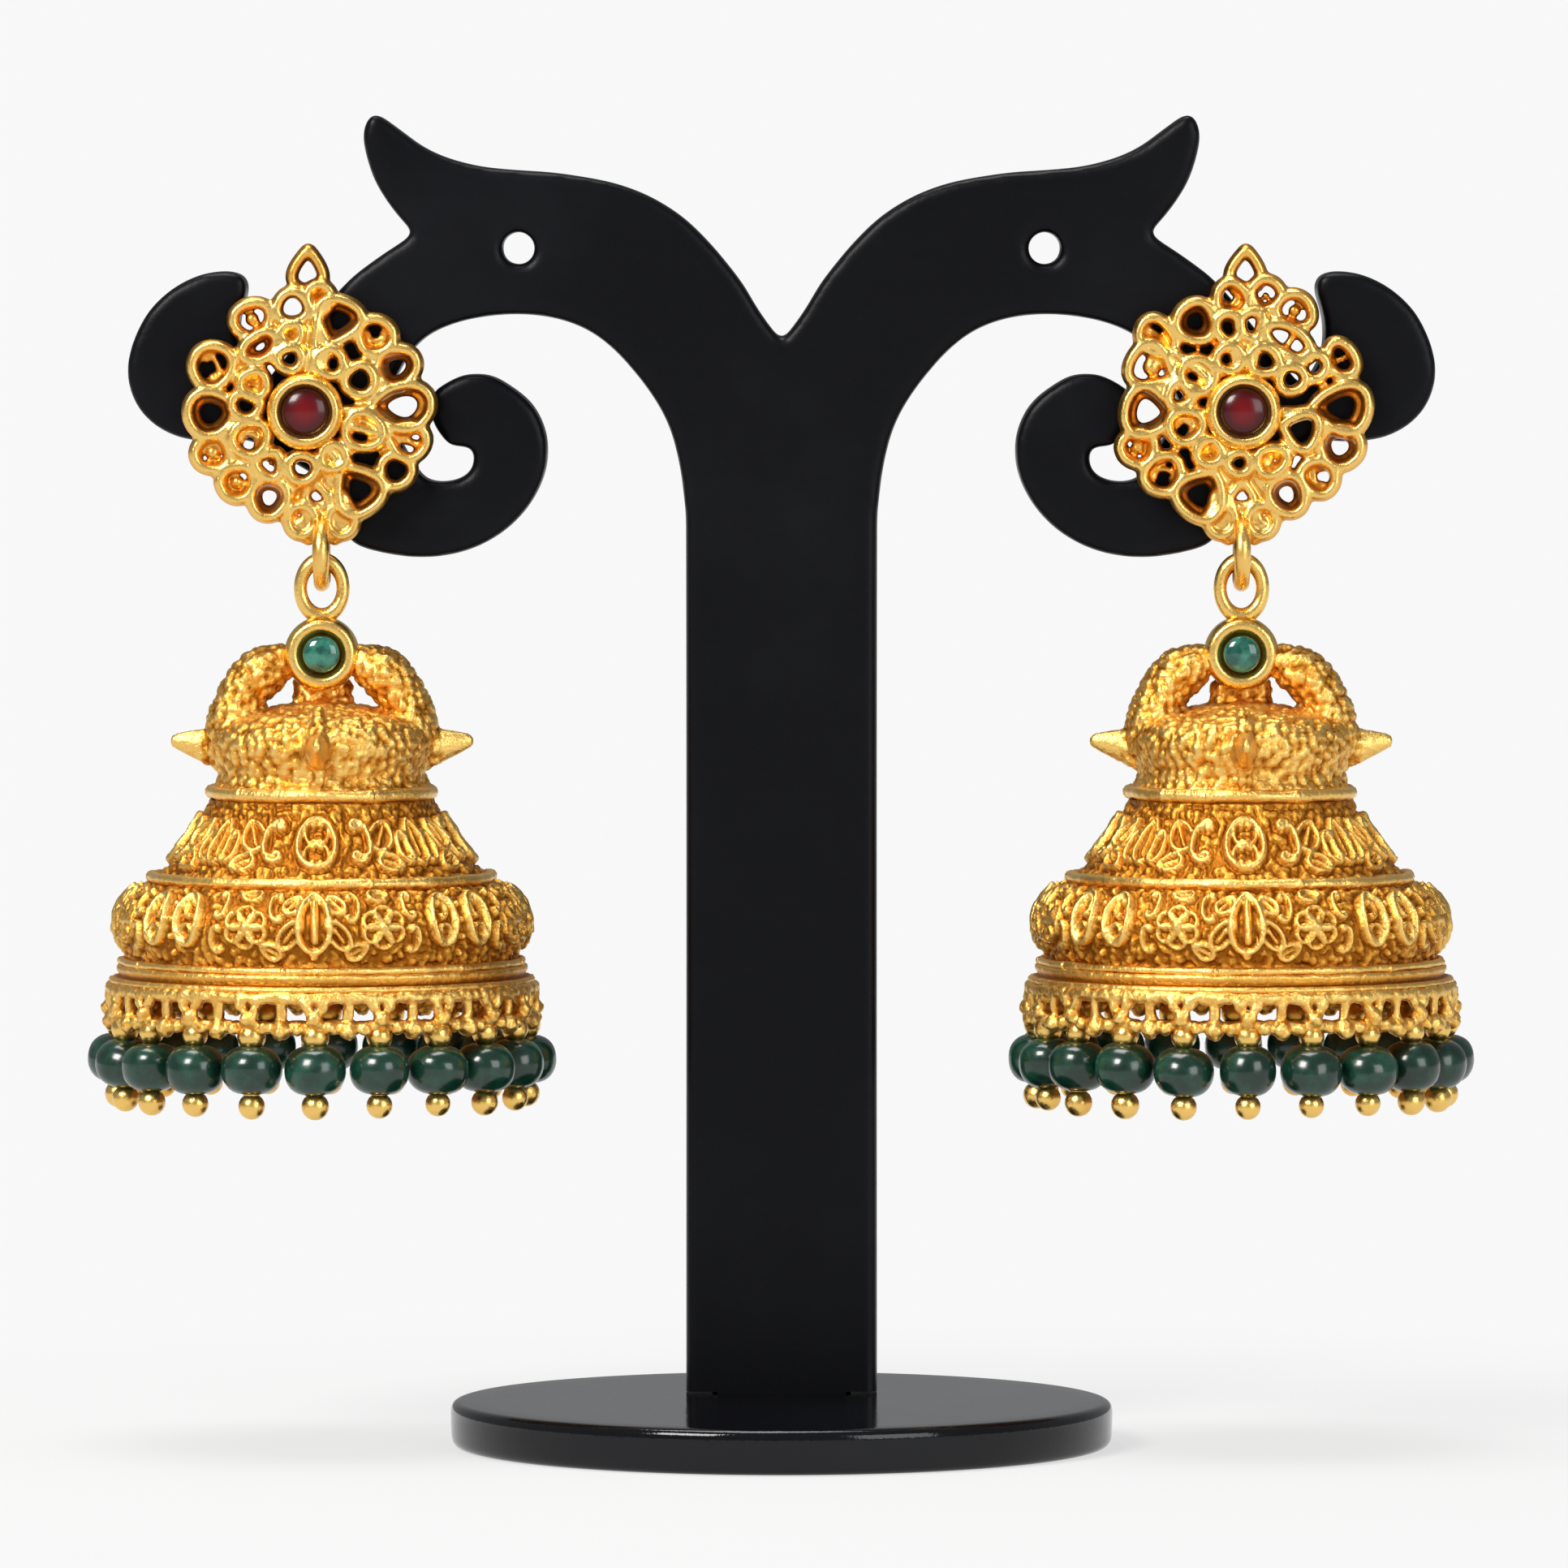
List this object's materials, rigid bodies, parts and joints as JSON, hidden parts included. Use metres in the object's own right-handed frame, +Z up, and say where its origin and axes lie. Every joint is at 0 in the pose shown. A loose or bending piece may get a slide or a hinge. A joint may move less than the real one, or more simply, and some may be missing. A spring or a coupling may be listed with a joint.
{
  "type": "pair of jhumka earrings on a display stand",
  "caption": "Gold bell earrings with pierced rosette studs, red and green stones and a fringe of green glass beads, hung on a black two-armed stand.",
  "frame": {"origin": "centre of the round base's underside", "axes": "+Z up, the stones and rosettes face -Y, +X to the viewer's right"},
  "size_m": [0.086, 0.041, 0.0826],
  "materials": {
    "gold": "satin",
    "black_acrylic": "satin",
    "ruby_glass": "gloss",
    "emerald_glass": "gloss",
    "bead_glass": "gloss"
  },
  "bodies": {
    "stand": {"stand_base": "black_acrylic", "stand_plate": "black_acrylic", "left_rosette": "gold", "left_ruby": "ruby_glass", "left_ear_nut": "gold", "right_rosette": "gold", "right_ruby": "ruby_glass", "right_ear_nut": "gold"},
    "left_link": {"left_link": "gold"},
    "left_drop": {"left_bell": "gold", "left_emerald": "emerald_glass", "left_bead_pins": "gold", "left_bead_01": "bead_glass", "left_bead_02": "bead_glass", "left_bead_03": "bead_glass", "left_bead_04": "bead_glass", "left_bead_05": "bead_glass", "left_bead_06": "bead_glass", "left_bead_07": "bead_glass", "left_bead_08": "bead_glass", "left_bead_09": "bead_glass", "left_bead_10": "bead_glass", "left_bead_11": "bead_glass", "left_bead_12": "bead_glass", "left_bead_13": "bead_glass", "left_bead_14": "bead_glass", "left_bead_15": "bead_glass", "left_bead_16": "bead_glass", "left_bead_17": "bead_glass", "left_bead_18": "bead_glass", "left_bead_19": "bead_glass", "left_bead_20": "bead_glass"},
    "right_link": {"right_link": "gold"},
    "right_drop": {"right_bell": "gold", "right_emerald": "emerald_glass", "right_bead_pins": "gold", "right_bead_01": "bead_glass", "right_bead_02": "bead_glass", "right_bead_03": "bead_glass", "right_bead_04": "bead_glass", "right_bead_05": "bead_glass", "right_bead_06": "bead_glass", "right_bead_07": "bead_glass", "right_bead_08": "bead_glass", "right_bead_09": "bead_glass", "right_bead_10": "bead_glass", "right_bead_11": "bead_glass", "right_bead_12": "bead_glass", "right_bead_13": "bead_glass", "right_bead_14": "bead_glass", "right_bead_15": "bead_glass", "right_bead_16": "bead_glass", "right_bead_17": "bead_glass", "right_bead_18": "bead_glass", "right_bead_19": "bead_glass", "right_bead_20": "bead_glass"}
  },
  "joints": [
    {"name": "left_link_swing", "type": "hinge", "parent": "stand", "child": "left_link", "pos_m": [-0.0285, 0.0022, 0.05608], "axis": [1, 0, 0], "range_deg": [-25, 25]},
    {"name": "left_drop_sway", "type": "hinge", "parent": "left_link", "child": "left_drop", "pos_m": [-0.0285, 0.0022, 0.05332], "axis": [0, 1, 0], "range_deg": [-13, 28]},
    {"name": "right_link_swing", "type": "hinge", "parent": "stand", "child": "right_link", "pos_m": [0.0285, 0.0022, 0.05608], "axis": [1, 0, 0], "range_deg": [-25, 25]},
    {"name": "right_drop_sway", "type": "hinge", "parent": "right_link", "child": "right_drop", "pos_m": [0.0285, 0.0022, 0.05332], "axis": [0, 1, 0], "range_deg": [-28, 13]}
  ]
}
